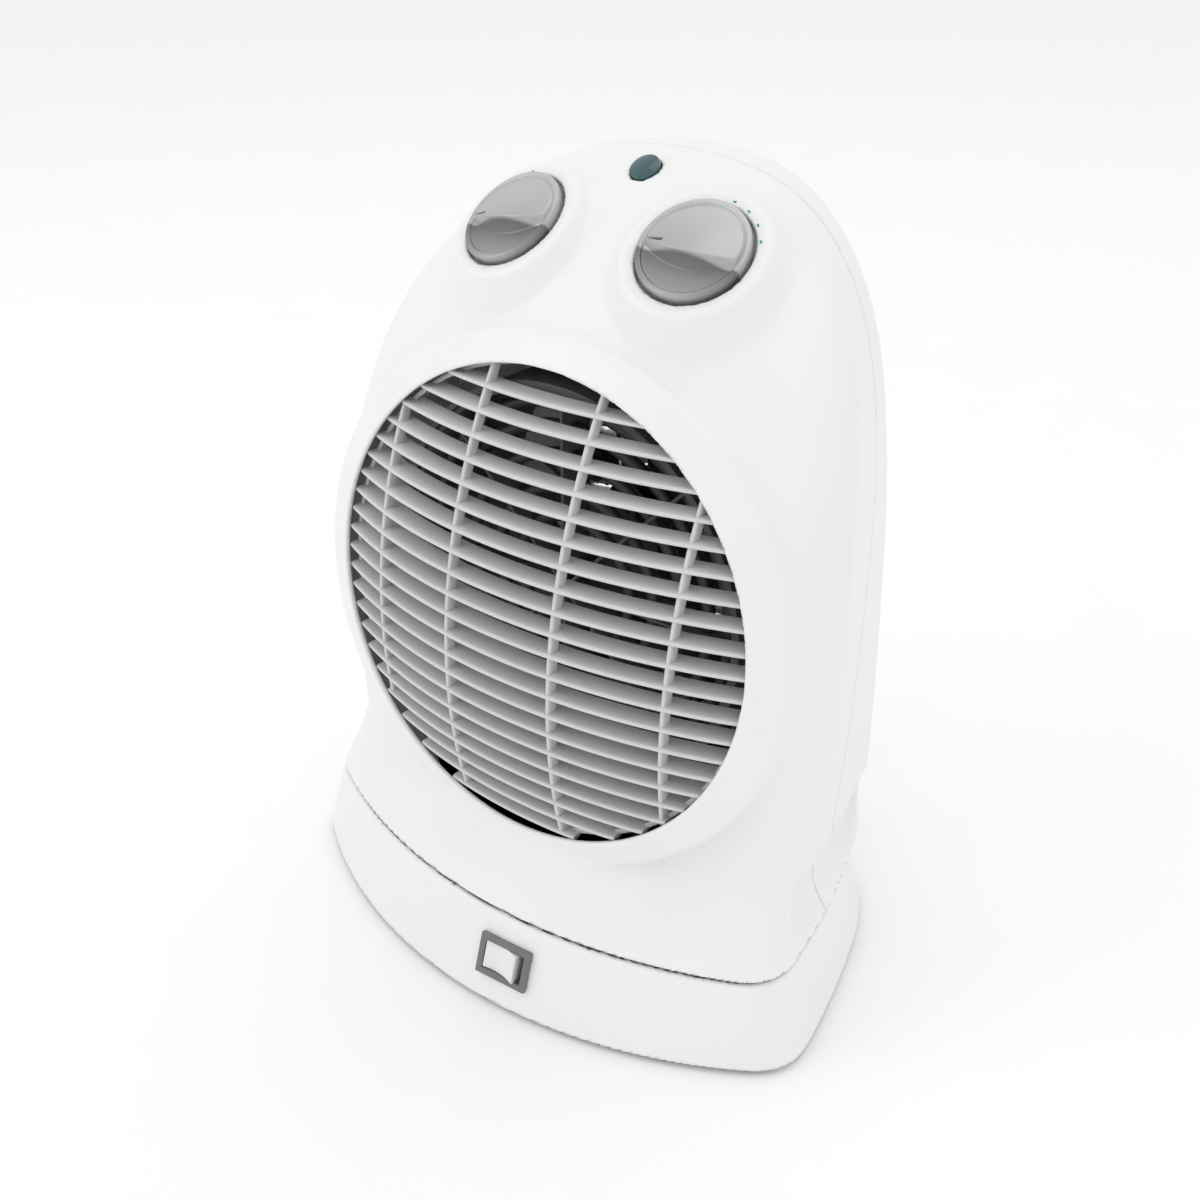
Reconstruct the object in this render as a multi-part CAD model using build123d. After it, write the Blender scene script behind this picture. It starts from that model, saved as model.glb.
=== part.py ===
from build123d import *
import math
import os

# Oscillating fan convector heater. Millimetres, +Z up, -Y is the front.
# Origin: centre of the footprint at floor level, on the axis that the housing swings about.

# ---------------------------------------------------------------- driving dimensions
WALL = 2.5
SKIN_GAP = 0.3
RUNNING = 0.05
FIT = 0.1

# Base plinth heights
BASE_BOTTOM = 2.0
BASE_TOP = 33.0
DECK_LOW = 26.5
DECK_TOP = 29.0
PLATE_TOP = 4.5
PLATE_INSET = 4.0
HOUSING_BOTTOM = 34.2
FLOOR_TOP = 36.7

# Footprint outlines with arcs between corner, side and rear points.
BASE_FOOT = dict(corner=(115, -43), front=-82.5, side=(107, 3), rear=(86, 55), back=82.5)
BASE_RIM = dict(corner=(105.5, -42), front=-71, side=(99, 0), rear=(80, 50), back=76)
SKIRT_TOP = dict(corner=(91, -31), front=-47, side=(96, 0), rear=(76, 48), back=70)
SKIRT_TOP_Z = 60.0
FRONT_CORNER_R = 12
REAR_CORNER_R = 26

# Round front: a drum with a domed face, and the opening that the grille fills.
OPENING_Z = 139.5
OPENING_HALF_W = 86.0
OPENING_HALF_H = 80.0
DRUM_HALF_W = 99.5
DRUM_HALF_H = 90.0
DRUM_BACK_Y = -5.0
DOME_CROWN_Y = -58.5
DOME_CROWN_Z = 112.0
DOME_PLAN_R = 225.0
DOME_SIDE_R = 200.0
RING_LIP = 2.5

# Grille
LOUVRE_PITCH = 7.3
LOUVRE_TOP_Z = 210.6
LOUVRE_COUNT = 21
LOUVRE_THICK = 1.3
LOUVRE_FRONT = 1.0
LOUVRE_BACK = -7.0
RIB_X = (-62.0, -22.5, 22.5, 62.0)
RIB_THICK = 2.0
GRILLE_RIM = 2.0
FLANGE_HALF_W = 91.0
FLANGE_HALF_H = 85.0

# Control panel, which leans back
PANEL_SLOPE = 1.03
PANEL_FOOT = (-21.8, 229.5)
PANEL_ALLOWANCE = 4.5
KNOB_X = 35.4
KNOB_Y = -1.0
KNOB_Z = 255.1
KNOB_SLOPE = 1.2
KNOB_SPLAY = 0.177
KNOB_R = 17.8
KNOB_LOW = -2.5
KNOB_RIM_TOP = 2.0
KNOB_GRIP_TOP = 9.0
KNOB_GAP = 0.9
KNOB_STEM_R = 3.0
COLLAR_R = 30.0
COLLAR_TOP_R = 22.0
COLLAR_BORE_R = 20.5
COLLAR_DROP = 12.0
RECESS_DEPTH = 3.5
LAMP_Y = 21.8
LAMP_Z = 272.0
LAMP_SLOPE = 1.3
LAMP_R = 5.1
LAMP_DOME_R = 18.0

# Swing drive: the crank pin runs in a slot of the housing floor
CRANK_CENTRE_Y = 42.0
CRANK_THROW = 24.25
CRANK_PIN_R = 2.0
CRANK_SHAFT_R = 3.0
SLOT_HALF_W = 3.7
SLOT_FROM_Y = 44.0
SLOT_TO_Y = 71.0
SWING_MOTOR_R = 23.0
SWING_MOTOR_LOW = 11.0
SWING_SCREW_ANGLES = (10, 170)
HUB_R = 10.0
HUB_BORE_R = 6.5
HUB_COLLAR_R = 16.0
BUSH_R = 13.0
PAD_SPOTS = ((-57, -19), (57, -19), (-55, 29), (55, 29))
FOOT_SPOTS = ((-92, -40), (92, -40), (-72, 50), (72, 50))
BASE_SCREW_SPOTS = ((-66, -50), (66, -50), (-44, 62), (44, 62))

# Ring where a mains lead would enter the back of the base
GLAND_X = 52.0
GLAND_Z = 14.0
GLAND_R = 5.5

# Air path
FAN_R = 62.0
FAN_BLADES = 7
FAN_FRONT_Y = 14.0
FAN_BACK_Y = 30.0
FAN_HUB_R = 15.0
SHAFT_R = 2.5
SHROUD_R = 71.0
SHROUD_WALL = 2.0
SHROUD_FRONT_Y = -24.0
SHROUD_BACK_Y = 38.0
HEATER_FRONT_Y = -22.0
HEATER_BACK_Y = -6.0
COIL_RADII = (24.0, 34.0, 46.0, 56.0, 64.0)
COIL_WIRE_R = 2.2
FAN_MOTOR_R = 24.0
MOTOR_FRONT_Y = 36.0
MOTOR_BACK_Y = 60.0

# Air intake slots and hand hold in the back
INTAKE_COUNT = 17
INTAKE_PITCH = 6.4
INTAKE_SLOT = 2.8
INTAKE_R = 56.0
INTAKE_BARS_X = (-18, 18)
GRIP_HALF_W = 42.0
GRIP_LOW = 222.0
GRIP_HIGH = 244.0
GRIP_DEEP_Y = 46.0
GRIP_WALL = 2.0

# Screw posts that join the covers, either side of the round front
POST_X = 66.0
POST_RISE = 68.0
POST_R = 5.0
SCREW_R = 1.5
SCREW_HEAD_R = 3.0
SCREW_SEAT_Y = 22.0
FLOOR_SCREW_SPOTS = ((-84, -22), (84, -22), (-74, 34), (74, 34))
FLOOR_POST_TOP = 52.0

# Switch that turns the swing on: bezel size, opening and place on the sloping base front
SWITCH_X = 16.5
SWITCH_Z = 18.5
SWITCH_TURN = 0.087
BEZEL_W = 21.0
BEZEL_H = 15.0
BEZEL_THICK = 1.8
SWITCH_BODY_W = 18.4
SWITCH_BODY_H = 12.6
SWITCH_DEPTH = 12.0
ROCKER_HALF_W = 7.2
ROCKER_HALF_H = 5.0
ROCKER_TILT = 10.0
ROCKER_PIVOT = -2.5
PIN_R = 1.0

# Housing body: a rounded block whose plan section is a superellipse at every height.
BODY_TOP = 281.5
BODY_HALF_W = 100.0
BODY_WIDE_Z = 130.0
BODY_BACK_Y = 74.0
TOP_CENTRE_Y = 40.0
WIDEST_Y = -6.0
SECTION_COUNT = 10
SECTION_POINTS = 24
FRONT_EXPONENT = 3.0
REAR_EXPONENT = 2.4
PARTING_SLOPE = 0.155
CHEST_Y = -44.0
SCOOP_R = 30.0
SCOOP_X = 127.0
SCOOP_Z = 50.0
SCOOP_TURN = 14
SCOOP_LEAN = 6


# ---------------------------------------------------------------- helpers
def cylinder_y(radius, y0, y1, x=0.0, z=0.0):
    """A cylinder along Y from y0 to y1."""
    body = Cylinder(radius, abs(y1 - y0))
    return Pos(x, (y0 + y1) / 2, z) * Rot(90, 0, 0) * body


def cylinder_z(radius, z0, z1, x=0.0, y=0.0):
    """A cylinder along Z from z0 to z1."""
    return Pos(x, y, (z0 + z1) / 2) * Cylinder(radius, z1 - z0)


def block(x0, x1, y0, y1, z0, z1):
    """A box between two corners."""
    centre = Pos((x0 + x1) / 2, (y0 + y1) / 2, (z0 + z1) / 2)
    return centre * Box(x1 - x0, y1 - y0, z1 - z0)


def fuse(shapes):
    """One shape from several that touch."""
    whole = shapes[0]
    for shape in shapes[1:]:
        whole = whole + shape
    return whole


def footprint(outline, inset=0.0):
    """A closed outline of arcs with rounded corners, shrunk by inset."""
    cx, cy = outline["corner"]
    sx, sy = outline["side"]
    rx, ry = outline["rear"]
    front = ThreePointArc((-cx, cy), (0, outline["front"]), (cx, cy))
    right = ThreePointArc((cx, cy), (sx, sy), (rx, ry))
    back = ThreePointArc((rx, ry), (0, outline["back"]), (-rx, ry))
    left = ThreePointArc((-rx, ry), (-sx, sy), (-cx, cy))
    face = make_face([front, right, back, left])
    fronts = [v for v in face.vertices() if abs(v.Y - cy) < 0.01]
    face = fillet(fronts, FRONT_CORNER_R)
    rears = [v for v in face.vertices() if abs(v.Y - ry) < 0.01]
    face = fillet(rears, REAR_CORNER_R)
    if inset:
        face = offset(face, -inset, kind=Kind.ARC)
    return face


def taper(low, high, z0, z1, inset=0.0):
    """A solid between two footprints at two heights."""
    bottom = Pos(0, 0, z0) * footprint(low, inset)
    top = Pos(0, 0, z1) * footprint(high, inset)
    return loft([bottom, top], ruled=True)


def save(name, *shapes):
    """Writes one node, from one solid or a group of separate solids."""
    solids = []
    for shape in shapes:
        solids.extend(shape.solids())
    whole = solids[0] if len(solids) == 1 else Compound(children=solids)
    export_step(whole, f"parts/{name}.step")


def screw_z(x, y, head_z, tip_z):
    """A screw driven upwards, with its pan head at the bottom."""
    head = cylinder_z(SCREW_HEAD_R, head_z, head_z + 1.5, x, y)
    shank = cylinder_z(SCREW_R, head_z + 1.5, tip_z, x, y)
    return head + shank


# ---------------------------------------------------------------- housing body
def panel_y(z):
    """Forward edge of the leaning control panel at height z."""
    return PANEL_FOOT[0] + (z - PANEL_FOOT[1]) * PANEL_SLOPE


def body_numbers(z):
    """Half width, front, back and widest place of the body at height z."""
    rise = max(0.0, (z - BODY_WIDE_Z) / (BODY_TOP + 0.4 - BODY_WIDE_Z))
    half_w = BODY_HALF_W * (1 - rise**3.6) ** (1 / 2.6)
    if z < BODY_WIDE_Z:
        half_w -= 3 * ((BODY_WIDE_Z - z) / (BODY_WIDE_Z - HOUSING_BOTTOM)) ** 2
    shrink = 1 - half_w / BODY_HALF_W
    back = BODY_BACK_Y - (BODY_BACK_Y - TOP_CENTRE_Y) * shrink**1.6
    gap = panel_y(z) - PANEL_ALLOWANCE - CHEST_Y
    front = CHEST_Y + (gap + math.sqrt(gap * gap + 160)) / 2
    widest = WIDEST_Y + (TOP_CENTRE_Y - WIDEST_Y) * rise**2.2
    return half_w, min(front, widest - 3), back, widest


def body_section(z, numbers, inset):
    """One plan section of the body, shrunk by inset."""
    half_w, front, back, widest = numbers
    points = []
    for k in range(SECTION_POINTS):
        angle = 2 * math.pi * k / SECTION_POINTS
        c, s = math.cos(angle), math.sin(angle)
        power = 2 / (FRONT_EXPONENT if s < 0 else REAR_EXPONENT)
        depth = (widest - front if s < 0 else back - widest) - inset
        x = (half_w - inset) * math.copysign(abs(c) ** power, c)
        y = widest + depth * math.copysign(abs(s) ** power, s)
        points.append((x, y, z))
    return Face(Wire(Spline(*points, periodic=True).edges()))


def body_solid(inset=0.0):
    """The rounded body, or the hollow inside it when inset is the wall."""
    faces = []
    height = BODY_TOP - HOUSING_BOTTOM
    for k in range(SECTION_COUNT + 1):
        z = HOUSING_BOTTOM + height * math.sin(math.pi / 2 * k / SECTION_COUNT)
        numbers = body_numbers(z)
        drop = inset * ((z - HOUSING_BOTTOM) / height) ** 4
        faces.append(body_section(z - drop, numbers, inset))
    return loft(faces) & front_limit(inset)


def front_limit(inset):
    """A turned solid that trims the body to the curve of the front and panel."""
    side_r = DOME_SIDE_R - inset
    ring_r = DOME_PLAN_R - DOME_SIDE_R
    outer = ring_r + side_r
    rise = 185.0
    reach = math.sqrt(side_r**2 - rise**2)
    middle = side_r * math.sqrt(0.5)
    top = DOME_CROWN_Z + rise
    profile = make_face(
        [
            Line((0, -50), (outer, -50)),
            Line((outer, -50), (outer, DOME_CROWN_Z)),
            ThreePointArc(
                (outer, DOME_CROWN_Z),
                (ring_r + middle, DOME_CROWN_Z + middle),
                (ring_r + reach, top),
            ),
            Line((ring_r + reach, top), (0, top)),
            Line((0, top), (0, -50)),
        ]
    )
    turned = revolve(Plane.XZ * profile, Axis.Z, 360)
    return Pos(0, DOME_CROWN_Y + DOME_PLAN_R, 0) * turned


def dome(lip):
    """A turned solid whose front is the domed face, moved forward by lip."""
    side_r = DOME_SIDE_R + lip
    axis_y = DOME_CROWN_Y + DOME_PLAN_R
    ring_r = DOME_PLAN_R - DOME_SIDE_R
    height = 150.0
    low = DOME_CROWN_Z - height
    high = DOME_CROWN_Z + height
    reach = math.sqrt(side_r**2 - height**2)
    outer = ring_r + side_r
    profile = make_face(
        [
            Line((0, low), (ring_r + reach, low)),
            ThreePointArc((ring_r + reach, low), (outer, DOME_CROWN_Z), (ring_r + reach, high)),
            Line((ring_r + reach, high), (0, high)),
            Line((0, high), (0, low)),
        ]
    )
    turned = revolve(Plane.XZ * profile, Axis.Z, 360)
    return Pos(0, axis_y, 0) * turned


def oval_prism(half_w, half_h, y0, y1):
    """An elliptical prism along Y round the opening's centre."""
    prism = extrude(Plane.XZ * Ellipse(half_w, half_h), amount=y1 - y0)
    box = prism.bounding_box()
    return Pos(0, y0 - box.min.Y, OPENING_Z) * prism


def drum_solid(inset=0.0):
    """The round front, or the hollow inside it when inset is the wall."""
    prism = oval_prism(DRUM_HALF_W - inset, DRUM_HALF_H - inset, -90, DRUM_BACK_Y)
    return prism & dome(RING_LIP - inset)


def skirt_solid(inset=0.0):
    """The flared foot of the housing."""
    return taper(BASE_RIM, SKIRT_TOP, HOUSING_BOTTOM, SKIRT_TOP_Z, inset)


def scoop_tool(side, inset=0.0):
    """The hollow along one lower side of the housing, as a leaning cylinder."""
    tool = Cylinder(SCOOP_R + inset, 400)
    turned = Rot(0, 0, side * SCOOP_TURN) * Rot(90 - SCOOP_LEAN, 0, 0) * tool
    return Pos(side * SCOOP_X, 0, SCOOP_Z) * turned


def housing_outer():
    """The whole outside shape of the housing."""
    whole = body_solid() + drum_solid() + skirt_solid()
    for side in (-1, 1):
        whole = whole - scoop_tool(side)
    return whole


def housing_inner():
    """The hollow inside the housing."""
    whole = body_solid(WALL) + drum_solid(WALL) + skirt_solid(WALL)
    for side in (-1, 1):
        whole = whole - scoop_tool(side, WALL)
    return whole


def front_side():
    """Everything in front of the leaning plane where the two covers meet."""
    tilt = math.degrees(math.atan(PARTING_SLOPE))
    big = 600.0
    tool = Pos(0, -big / 2, 0) * Box(big, big, 2 * big)
    return Pos(0, 0, HOUSING_BOTTOM) * Rot(-tilt, 0, 0) * tool


def knob_plane(side):
    """The plane of one collar's top face, facing out of the panel."""
    splay = side * KNOB_SPLAY
    normal = (splay, -1.0, KNOB_SLOPE)
    return Plane(origin=(side * KNOB_X, KNOB_Y, KNOB_Z), x_dir=(1, splay, 0), z_dir=normal)


def lamp_plane():
    """The plane of the indicator lamp."""
    return Plane(origin=(0, LAMP_Y, LAMP_Z), x_dir=(1, 0, 0), z_dir=(0, -1.0, LAMP_SLOPE))


# ---------------------------------------------------------------- base
def switch_plane():
    """The plane of the base's sloping front wall at the switch."""
    rise = BASE_TOP - BASE_BOTTOM
    run = BASE_RIM["front"] - BASE_FOOT["front"]
    y = BASE_FOOT["front"] + run * (SWITCH_Z - BASE_BOTTOM) / rise
    y = y + SWITCH_X * SWITCH_TURN / 2
    normal = (SWITCH_TURN * rise, -rise, run)
    return Plane(origin=(SWITCH_X, y, SWITCH_Z), x_dir=(1, SWITCH_TURN, 0), z_dir=normal)


def on(plane, shape):
    """A shape built at the origin, placed on a plane."""
    return plane.location * shape


def slab(width, height, low, high, x=0.0, y=0.0):
    """A box centred on the local axis between two local heights."""
    return Pos(x, y, (low + high) / 2) * Box(width, height, high - low)


def rod(radius, low, high, x=0.0, y=0.0):
    """A cylinder along the local axis between two local heights."""
    return Pos(x, y, (low + high) / 2) * Cylinder(radius, high - low)


def make_base_shell():
    """The plinth: sloping walls and a sunken deck that carries the housing."""
    outer = taper(BASE_FOOT, BASE_RIM, BASE_BOTTOM, BASE_TOP)
    hollow = taper(BASE_FOOT, BASE_RIM, BASE_BOTTOM, BASE_TOP, WALL)
    under = hollow & block(-150, 150, -120, 120, BASE_BOTTOM - 1, DECK_LOW)
    over = hollow & block(-150, 150, -120, 120, DECK_TOP, BASE_TOP + 1)
    shell = outer - under - over
    for x, y in BASE_SCREW_SPOTS:
        shell = shell + cylinder_z(4.5, PLATE_TOP + FIT, DECK_LOW + 0.5, x, y)
        shell = shell - cylinder_z(SCREW_R + FIT, PLATE_TOP - 1, 18, x, y)
    shell = shell - cylinder_z(BUSH_R + FIT, DECK_LOW - 1, DECK_TOP + 1)
    shell = shell - cylinder_z(CRANK_SHAFT_R + 1, DECK_LOW - 1, DECK_TOP + 1, 0, CRANK_CENTRE_Y)
    shell = shell - on(switch_plane(), slab(SWITCH_BODY_W + 0.4, SWITCH_BODY_H + 0.4, -6, 6))
    shell = shell - cylinder_y(GLAND_R + FIT, 55, 90, GLAND_X, GLAND_Z)
    for angle in SWING_SCREW_ANGLES:
        x, y = swing_screw_spot(angle)
        shell = shell - cylinder_z(SCREW_R + FIT, DECK_LOW - 1, DECK_TOP + 1, x, y)
    save("base_shell", shell)


def make_base_plate():
    """The flat bottom, with vents, screw seats and a rim that stays inside the walls."""
    plate = Pos(0, 0, BASE_BOTTOM) * footprint(BASE_FOOT, PLATE_INSET)
    plate = extrude(plate, amount=PLATE_TOP - BASE_BOTTOM)
    for x, y in BASE_SCREW_SPOTS:
        plate = plate - cylinder_z(SCREW_R + FIT, 0, 10, x, y)
        plate = plate - cylinder_z(SCREW_HEAD_R + FIT, 0, BASE_BOTTOM + 1.5, x, y)
    for k in range(5):
        plate = plate - block(-20, 20, -34 + 6 * k, -31 + 6 * k, 0, 10)
    save("base_plate", plate)
    screws = [screw_z(x, y, BASE_BOTTOM, 17) for x, y in BASE_SCREW_SPOTS]
    save("base_screws", *screws)


def make_feet():
    """Four rubber discs under the plate."""
    feet = []
    for x, y in FOOT_SPOTS:
        foot = cylinder_z(8, 0, BASE_BOTTOM, x, y)
        feet.append(foot - cylinder_z(3, 0, 0.8, x, y))
    save("rubber_feet", *feet)


def make_switch():
    """The rocker switch in the front of the base: a framed body and its rocker."""
    frame = slab(BEZEL_W, BEZEL_H, 0.1, BEZEL_THICK)
    body = slab(SWITCH_BODY_W, SWITCH_BODY_H, -SWITCH_DEPTH, 0.2)
    for x in (-5, 5):
        body = body + slab(0.8, 4.8, -SWITCH_DEPTH - 5, -SWITCH_DEPTH + 1, x)
    well = slab(2 * ROCKER_HALF_W + 2.2, 2 * ROCKER_HALF_H + 0.6, -8.5, 3)
    shell = frame + body - well
    shell = shell - pivot_pin(PIN_R + RUNNING, SWITCH_BODY_H / 2 - 0.3)
    save("switch_body", on(switch_plane(), shell))
    save("switch_rocker", on(switch_plane(), make_rocker()))


def pivot_pin(radius, half_length):
    """The pin that the rocker turns on."""
    return Pos(0, 0, ROCKER_PIVOT) * Rot(90, 0, 0) * Cylinder(radius, 2 * half_length)


def make_rocker():
    """The rocker, tilted about its pin, with two gently hollow faces."""
    half = ROCKER_HALF_W
    crest = BEZEL_THICK + 0.9
    profile = make_face(
        [
            ThreePointArc((-half, crest), (-half / 2, crest - 1.3), (0, crest - 1.5)),
            ThreePointArc((0, crest - 1.5), (half / 2, crest - 1.3), (half, crest)),
            Line((half, crest), (half - 2.2, -5.5)),
            Line((half - 2.2, -5.5), (-half + 2.2, -5.5)),
            Line((-half + 2.2, -5.5), (-half, crest)),
        ]
    )
    body = extrude(Plane.XZ * profile, amount=ROCKER_HALF_H, both=True)
    body = body + pivot_pin(PIN_R, SWITCH_BODY_H / 2 - 0.4)
    pivot = Pos(0, 0, ROCKER_PIVOT)
    return pivot * Rot(0, -ROCKER_TILT, 0) * pivot.inverse() * body


def make_cord_gland():
    """The ring where a mains lead would enter, at the back of the base."""
    gland = cylinder_y(GLAND_R, 64, 78, GLAND_X, GLAND_Z)
    gland = gland - cylinder_y(3.3, 60, 90, GLAND_X, GLAND_Z)
    save("cord_gland", gland)


def swing_screw_spot(angle):
    """Centre of one screw round the swing motor."""
    turn = math.radians(angle)
    reach = SWING_MOTOR_R + 5
    return reach * math.cos(turn), CRANK_CENTRE_Y + reach * math.sin(turn)


def make_swing_drive():
    """The geared motor under the deck, its screws and the crank above the deck."""
    top = DECK_LOW
    bore_low = SWING_MOTOR_LOW + 3
    can = cylinder_z(SWING_MOTOR_R, SWING_MOTOR_LOW, top, 0, CRANK_CENTRE_Y)
    for angle in SWING_SCREW_ANGLES:
        x, y = swing_screw_spot(angle)
        lug = Pos(x, y, top - 1) * Rot(0, 0, angle) * Box(16, 9, 2)
        can = can + lug
    for angle in SWING_SCREW_ANGLES:
        x, y = swing_screw_spot(angle)
        can = can - cylinder_z(SCREW_R + FIT, SWING_MOTOR_LOW, top + 1, x, y)
    can = can - cylinder_z(CRANK_SHAFT_R + RUNNING, bore_low, top + 1, 0, CRANK_CENTRE_Y)
    save("swing_motor", can)
    screws = []
    for angle in SWING_SCREW_ANGLES:
        x, y = swing_screw_spot(angle)
        screws.append(screw_z(x, y, top - 3.5, DECK_TOP - 0.3))
    save("swing_motor_screws", *screws)
    pin_y = CRANK_CENTRE_Y + CRANK_THROW
    low, high = DECK_TOP + 1.0, DECK_TOP + 3.2
    arm = block(-4, 4, CRANK_CENTRE_Y, pin_y, low, high)
    arm = arm + cylinder_z(6, low, high, 0, CRANK_CENTRE_Y) + cylinder_z(4, low, high, 0, pin_y)
    arm = arm + cylinder_z(CRANK_SHAFT_R, bore_low + 1, high, 0, CRANK_CENTRE_Y)
    arm = arm + cylinder_z(CRANK_PIN_R, high - 0.5, FLOOR_TOP + 4, 0, pin_y)
    save("crank_arm", arm)


def make_turntable():
    """The bush in the deck, the hollow hub that turns in it, its washer and the glide pads."""
    bush = cylinder_z(BUSH_R, DECK_LOW - 2.5, DECK_TOP + 0.5)
    bush = bush + cylinder_z(HUB_COLLAR_R + 1, DECK_TOP, DECK_TOP + 1)
    bush = bush - cylinder_z(HUB_R + RUNNING, 10, 40)
    save("pivot_bush", bush)
    hub = cylinder_z(HUB_R, 19, FLOOR_TOP + 5)
    hub = hub + cylinder_z(HUB_COLLAR_R, DECK_TOP + 1 + FIT, HOUSING_BOTTOM)
    hub = hub - cylinder_z(HUB_BORE_R, 0, 60)
    save("turntable_hub", hub)
    washer = cylinder_z(HUB_COLLAR_R - 1, 21, 23.6) - cylinder_z(HUB_R + FIT, 10, 40)
    save("retaining_washer", washer)
    pads = [cylinder_z(6, DECK_TOP, HOUSING_BOTTOM - FIT, x, y) for x, y in PAD_SPOTS]
    save("glide_pads", *pads)


# ---------------------------------------------------------------- housing shells
def pillar(radius, y0, y1, x, z):
    """A round post along Y."""
    return cylinder_y(radius, y0, y1, x, z)


def post_spots():
    """The four screw posts round the air path."""
    spots = []
    for x in (-POST_X, POST_X):
        for z in (OPENING_Z - POST_RISE, OPENING_Z + POST_RISE):
            spots.append((x, z))
    return spots


def parting_y(z):
    """Where the two covers meet at height z."""
    return (z - HOUSING_BOTTOM) * PARTING_SLOPE


def post_limit():
    """The shape that posts may fill: the housing shrunk by half a wall."""
    half = WALL / 2
    limit = body_solid(half) + drum_solid(half) + skirt_solid(half)
    for side in (-1, 1):
        limit = limit - scoop_tool(side, half)
    return limit


def floor_post(x, y, limit):
    """A screw post that rises from the floor and joins the side wall."""
    far = x + math.copysign(30, x)
    web = block(min(x - 5, far), max(x + 5, far), y - 5, y + 5, 40, FLOOR_POST_TOP)
    return (web & limit) + cylinder_z(POST_R, FLOOR_TOP + FIT, FLOOR_POST_TOP, x, y)


def shell_pair():
    """The front and rear halves of the hollow housing, before their details."""
    outer = housing_outer()
    shell = outer - housing_inner()
    shell = shell - block(-200, 200, -200, 200, 0, HOUSING_BOTTOM)
    front_tool = front_side()
    front = shell & front_tool
    rear = shell - front_tool
    return front, rear


def make_front_cover(limit, front):
    """Front cover: round outlet, collars for the knobs, hole for the lamp."""
    cover = front
    for side in (-1, 1):
        plane = knob_plane(side)
        cone = Pos(0, 0, -COLLAR_DROP / 2) * Cone(COLLAR_R, COLLAR_TOP_R, COLLAR_DROP)
        pocket = rod(KNOB_R + KNOB_GAP, -RECESS_DEPTH, 20)
        below = rod(COLLAR_BORE_R, -40, -RECESS_DEPTH - WALL)
        cover = cover + on(plane, cone)
        cover = cover - on(plane, below)
        cover = cover - on(plane, pocket)
        cover = cover - on(plane, rod(KNOB_STEM_R + 1, -40, 0))
    cover = cover - oval_prism(OPENING_HALF_W, OPENING_HALF_H, -90, -10)
    cover = cover - on(lamp_plane(), rod(LAMP_R + FIT, -20, 20))
    for x, z in post_spots():
        post = pillar(POST_R, -60, parting_y(z) - SKIN_GAP - 1.2, x, z) & limit
        cover = cover + post
        cover = cover - pillar(SCREW_R + FIT, -24, 40, x, z)
    for x, y in FLOOR_SCREW_SPOTS[:2]:
        cover = cover + floor_post(x, y, limit)
        cover = cover - cylinder_z(SCREW_R + FIT, 30, 49, x, y)
    save("front_cover", cover)


def make_rear_cover(limit, rear):
    """Rear cover: air intake slots, hand hold and screw seats."""
    cover = rear
    for x, z in post_spots():
        y0 = parting_y(z) + SKIN_GAP + 1.2
        post = pillar(POST_R, y0, 90, x, z) & limit
        cover = cover + post
    for x, z in post_spots():
        cover = cover - pillar(SCREW_R + FIT, 0, 90, x, z)
        cover = cover - pillar(SCREW_HEAD_R + 0.6, parting_y(z) + SCREW_SEAT_Y, 90, x, z)
    for x, y in FLOOR_SCREW_SPOTS[2:]:
        cover = cover + floor_post(x, y, limit)
        cover = cover - cylinder_z(SCREW_R + FIT, 30, 49, x, y)
    for k in range(INTAKE_COUNT):
        z = OPENING_Z + (k - (INTAKE_COUNT - 1) / 2) * INTAKE_PITCH
        reach = INTAKE_R**2 - (z - OPENING_Z) ** 2
        if reach > 100:
            half = math.sqrt(reach)
            slot = block(-half, half, 45, 100, z - INTAKE_SLOT / 2, z + INTAKE_SLOT / 2)
            for x in INTAKE_BARS_X:
                slot = slot - block(x - 1.5, x + 1.5, 40, 110, z - 4, z + 4)
            cover = cover - slot
    cover = cover - block(-GRIP_HALF_W, GRIP_HALF_W, 50, 90, GRIP_LOW, GRIP_HIGH)
    save("rear_cover", cover)
    make_grip_cup(cover)


def make_grip_cup(cover):
    """The cup behind the hand hold at the back."""
    half = GRIP_HALF_W + GRIP_WALL
    cup = block(-half, half, GRIP_DEEP_Y, 90, GRIP_LOW - GRIP_WALL, GRIP_HIGH + GRIP_WALL)
    deep = GRIP_DEEP_Y + GRIP_WALL
    cup = cup - block(-GRIP_HALF_W, GRIP_HALF_W, deep, 100, GRIP_LOW, GRIP_HIGH)
    inside = body_solid(WALL + 0.05)
    save("grip_cup", cup & inside)


def make_housing_floor():
    """The floor of the housing, with the hub hole and the long slot for the crank pin."""
    face = Pos(0, 0, HOUSING_BOTTOM) * footprint(BASE_RIM, WALL + 2.6)
    floor = extrude(face, amount=FLOOR_TOP - HOUSING_BOTTOM)
    for side in (-1, 1):
        floor = floor - scoop_tool(side, WALL + 0.4)
    floor = floor - cylinder_z(HUB_R + FIT, 30, 40)
    slot = block(-SLOT_HALF_W, SLOT_HALF_W, SLOT_FROM_Y, SLOT_TO_Y - SLOT_HALF_W, 30, 40)
    slot = slot + cylinder_z(SLOT_HALF_W, 30, 40, 0, SLOT_TO_Y - SLOT_HALF_W)
    slot = slot + cylinder_z(SLOT_HALF_W, 30, 40, 0, SLOT_FROM_Y)
    floor = floor - slot
    for x, y in FLOOR_SCREW_SPOTS:
        floor = floor - cylinder_z(SCREW_R + FIT, 30, 40, x, y)
        floor = floor - cylinder_z(SCREW_HEAD_R + FIT, 30, HOUSING_BOTTOM + 1.5, x, y)
    save("housing_floor", floor)


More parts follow.
